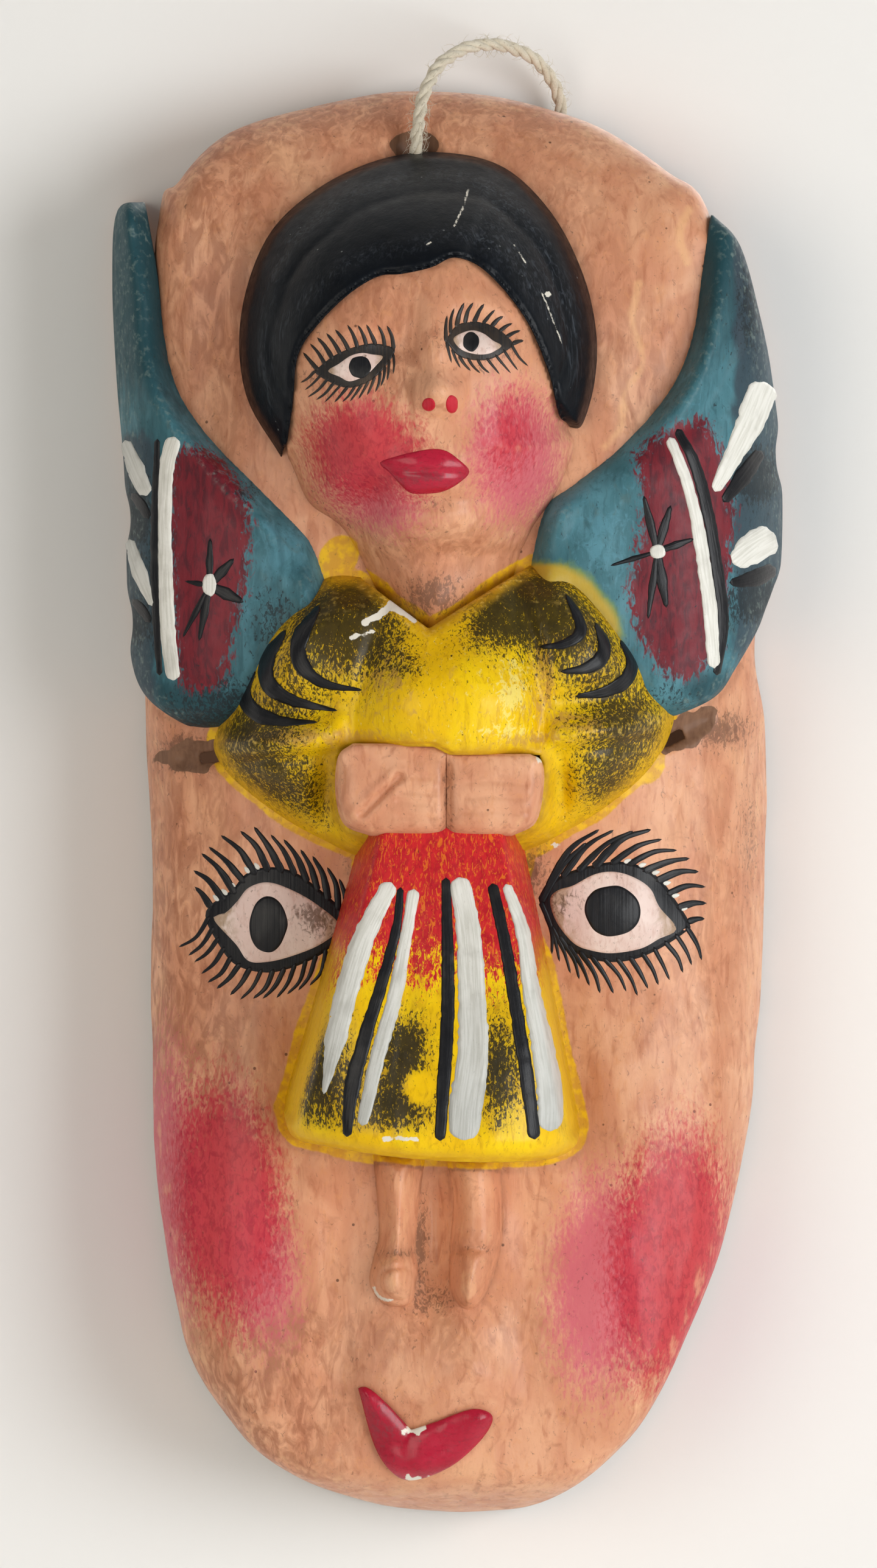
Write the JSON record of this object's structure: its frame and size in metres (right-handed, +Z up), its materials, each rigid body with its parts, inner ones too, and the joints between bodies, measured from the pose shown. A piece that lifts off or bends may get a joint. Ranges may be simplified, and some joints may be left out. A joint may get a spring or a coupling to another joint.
{
  "type": "carved folk mask",
  "caption": "Tall carved and painted wooden mask: a large folk face with a winged relief figure on its brow and nose, hollow behind, hung from a twine loop.",
  "frame": {"origin": "centre of the back rim's plane at mid height, where the mask lies against a wall", "axes": "+Z up as hung, face along -Y, +X to the viewer's right, back rim in the plane Y = 0"},
  "size_m": [0.188, 0.111, 0.4187],
  "materials": {
    "skin_paint": "varnished paint, brushed",
    "blue_paint": "varnished paint",
    "black_paint": "gloss varnish",
    "yellow_paint": "varnished paint, sponged",
    "skirt_paint": "varnished paint, sponged",
    "red_paint": "gloss varnish",
    "white_paint": "varnished paint",
    "raw_wood": "tool-marked bare wood",
    "cotton_twine": "twisted cotton, fuzzy"
  },
  "bodies": {
    "root": {"face_shell": "skin_paint", "left_wing": "blue_paint", "right_wing": "blue_paint", "figure_head": "skin_paint", "figure_hair": "black_paint", "blouse": "yellow_paint", "left_sleeve": "yellow_paint", "right_sleeve": "yellow_paint", "left_hand": "skin_paint", "right_hand": "skin_paint", "skirt": "skirt_paint", "left_leg": "skin_paint", "right_leg": "skin_paint", "lips": "red_paint", "hanging_cord": "cotton_twine", "cord_knot": "cotton_twine"}
  },
  "joints": []
}
